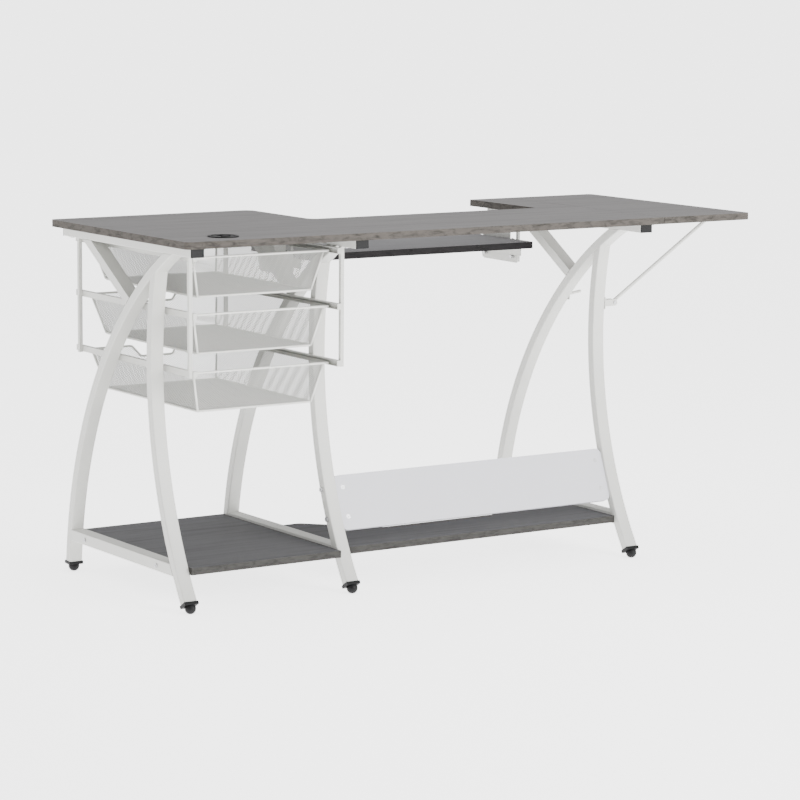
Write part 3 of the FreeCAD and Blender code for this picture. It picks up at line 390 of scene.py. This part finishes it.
def expanded_sheet(low_a, low_b, top_a, top_b, gaps=None):
    """Expanded mesh filling the flat four-sided patch between a low and a top edge."""
    low_a, low_b, top_a, top_b = (np.array(p, float) for p in (low_a, low_b, top_a, top_b))
    u_dir = (low_b - low_a) / np.linalg.norm(low_b - low_a)
    rise = (top_a + top_b - low_a - low_b) / 2
    v_dir = rise - u_dir * rise.dot(u_dir)
    height = np.linalg.norm(v_dir)
    v_dir /= height
    n_dir = np.cross(u_dir, v_dir)
    middle = (low_a + low_b) / 2
    spans = []
    for a, b in ((low_a, low_b), (top_a, top_b)):
        spans.append(((a - middle).dot(u_dir), (b - middle).dot(u_dir)))
    verts = []
    faces = []
    base = 0
    rows = int(height / (DIAMOND_H / 2))
    for j in range(rows):
        v = (j + 0.5) * height / rows
        t = v / height
        u0 = spans[0][0] * (1 - t) + spans[1][0] * t
        u1 = spans[0][1] * (1 - t) + spans[1][1] * t
        runs = [(u0, u1)] if gaps is None else gaps(v, height, u0, u1)
        for a, b in runs:
            some, more = zigzag_row(a, b, v, 1 if j % 2 else -1, middle, u_dir, v_dir, n_dir)
            verts.append(some)
            faces.append(more + base)
            base += len(some)
    return np.vstack(verts), np.vstack(faces)


def dip_runs(v, height, u0, u1):
    """Leave out the finger dip from a row of the front wall."""
    drop = (height - v) * DEPTH / height
    if drop > DIP_DEEP:
        return [(u0, u1)]
    t = drop / DIP_DEEP
    half = (DIP_TOP * (1 - t) + DIP_LOW * t) / 2
    return [(u0, -half), (half, u1)]


def rim_points(low, high):
    """Middle line of the rim wire, from the rear left corner round to the front left."""
    x0, x1 = low.x + RIM_R, high.x - RIM_R
    y0, y1 = low.y + RIM_R, high.y - RIM_R
    z = high.z - RIM_R
    return [Vector((x0, y0, z)), Vector((x1, y0, z)), Vector((x1, y1, z)), Vector((x0, y1, z))]


def body_points(rim, drop, inset):
    """Corners of the tapered body at a drop below the rim."""
    share = drop / DEPTH
    side = LIP + TAPER_SIDE * share + inset
    rear = TAPER_REAR * share + inset
    front = TAPER_FRONT * share + inset
    z = rim[0].z - drop
    x0, x1 = rim[0].x + side, rim[1].x - side
    y0, y1 = rim[0].y + rear, rim[2].y - front
    return [Vector((x0, y0, z)), Vector((x1, y0, z)), Vector((x1, y1, z)), Vector((x0, y1, z))]


def joined_sheets(sheets):
    base = 0
    verts = []
    faces = []
    for some, more in sheets:
        verts.append(some)
        faces.append(more + base)
        base += len(some)
    return np.vstack(verts), np.vstack(faces)


def build_basket(level):
    body = level + "_drawer"
    low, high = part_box(level + "_basket_wire")
    rim = rim_points(low, high)
    top = body_points(rim, 0.0, SHEET_INSET)
    floor = body_points(rim, DEPTH, SHEET_INSET)
    walls = []
    for i in range(4):
        j = (i + 1) % 4
        gaps = dip_runs if i == 2 else None
        walls.append(expanded_sheet(floor[i], floor[j], top[i], top[j], gaps))
    verts, faces = joined_sheets(walls)
    # Walls, floor and lips take the basket_mesh coat, which carries painted shade on the strands
    sides = add_piece(level + "_basket_walls", verts, faces, "basket_mesh", body)
    lips = [expanded_sheet(top[3], top[0], rim[3], rim[0]),
            expanded_sheet(top[1], top[2], rim[1], rim[2])]
    verts, faces = joined_sheets([expanded_sheet(floor[0], floor[1], floor[3], floor[2])] + lips)
    flat = add_piece(level + "_basket_floor", verts, faces, "basket_mesh", body)
    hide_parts(level + "_basket")
    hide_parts(level + "_basket")
    build_basket_wires(level, body, rim)


def build_basket_wires(level, body, rim):
    lean = TAPER_FRONT / DEPTH
    mid = (rim[0].x + rim[1].x) / 2
    y1 = rim[2].y
    z = rim[2].z
    dip_y = y1 - lean * DIP_DEEP
    dip = [Vector((mid + DIP_TOP / 2, y1, z)), Vector((mid + DIP_LOW / 2, dip_y, z - DIP_DEEP)),
           Vector((mid - DIP_LOW / 2, dip_y, z - DIP_DEEP)), Vector((mid - DIP_TOP / 2, y1, z))]
    parts = [tube(rounded_path(rim[:3] + dip + rim[3:], 0.005, True), RIM_R, True, 12)]
    floor = body_points(rim, DEPTH, 0.0)
    parts.append(tube(rounded_path(floor, 0.006, True), RIM_R, True))
    for a, b in zip(body_points(rim, 0.0, 0.0), floor):
        parts.append(tube([a, b], CORNER_WIRE_R, False))
    verts, faces = merged(parts)
    wires = add_piece(level + "_basket_frame", verts, faces, "basket_wire", body, smooth=True)
    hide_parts(level + "_basket_wire")


for drawer_level in LEVELS:
    build_basket(drawer_level)


# ---- stage, light and camera ----------------------------------------------------
FLOOR_HALF = 900.0
FLOOR_GREY = 0.93
FLOOR_GLOW = 2.8
SKY_STRENGTH = 0.9
# Area lights: place, point aimed at, width and height, watts.
LIGHTS = {
    "key": ((1.4, -4.2, 1.9), (0, 0, 0.45), (2.6, 2.0), 240),
    "top": ((0.2, 0.6, 3.4), (0, 0, 0.4), (3.0, 2.0), 30),
}
CAMERA_PLACE = (-3.687, -5.589, 1.3434)
CAMERA_YAW = 33.29
CAMERA_PITCH = 8.40
CAMERA_ROLL = 0.41
CAMERA_LENS = 137.98
SENSOR_WIDTH = 36.0


def stage():
    """Pale floor that also gives off light, so hardly any shadow shows, and an even sky."""
    size = FLOOR_HALF
    mesh = bpy.data.meshes.new("stage_floor")
    mesh.from_pydata([(-size, -size, 0), (size, -size, 0), (size, size, 0), (-size, size, 0)],
                     [], [(0, 1, 2, 3)])
    floor = bpy.data.objects.new("stage_floor", mesh)
    bpy.context.scene.collection.objects.link(floor)
    g = Graph("stage_paper", (FLOOR_GREY, FLOOR_GREY, FLOOR_GREY), 0.9)
    g.bsdf.inputs["Specular IOR Level"].default_value = 0.1
    g.bsdf.inputs["Emission Color"].default_value = (1.0, 1.0, 1.0, 1.0)
    g.bsdf.inputs["Emission Strength"].default_value = FLOOR_GLOW
    mesh.materials.append(g.mat)
    world = bpy.data.worlds.new("studio")
    world.use_nodes = True
    back = world.node_tree.nodes["Background"]
    back.inputs["Color"].default_value = (1.0, 1.0, 1.0, 1.0)
    back.inputs["Strength"].default_value = SKY_STRENGTH
    bpy.context.scene.world = world


def area_light(name, place, target, size, power):
    lamp = bpy.data.lights.new(name, "AREA")
    lamp.shape = "RECTANGLE"
    lamp.size, lamp.size_y = size
    lamp.energy = power
    holder = bpy.data.objects.new(name, lamp)
    holder.location = place
    holder.rotation_euler = (Vector(target) - Vector(place)).to_track_quat("-Z", "Y").to_euler()
    bpy.context.scene.collection.objects.link(holder)


def camera():
    yaw, pitch, roll = (math.radians(a) for a in (CAMERA_YAW, CAMERA_PITCH, CAMERA_ROLL))
    forward = Vector((math.sin(yaw) * math.cos(pitch), math.cos(yaw) * math.cos(pitch),
                      -math.sin(pitch)))
    right = Vector((math.cos(yaw), -math.sin(yaw), 0.0))
    up = right.cross(forward)
    tilted_right = right * math.cos(roll) + up * math.sin(roll)
    tilted_up = up * math.cos(roll) - right * math.sin(roll)
    eye = bpy.data.cameras.new("camera")
    eye.lens = CAMERA_LENS
    eye.sensor_width = SENSOR_WIDTH
    holder = bpy.data.objects.new("camera", eye)
    turn = Matrix((tilted_right, tilted_up, -forward)).transposed().to_4x4()
    holder.matrix_world = Matrix.Translation(CAMERA_PLACE) @ turn
    bpy.context.scene.collection.objects.link(holder)
    bpy.context.scene.camera = holder


stage()
for light_name, (light_place, aim, light_size, watts) in LIGHTS.items():
    area_light(light_name, light_place, aim, light_size, watts)
camera()
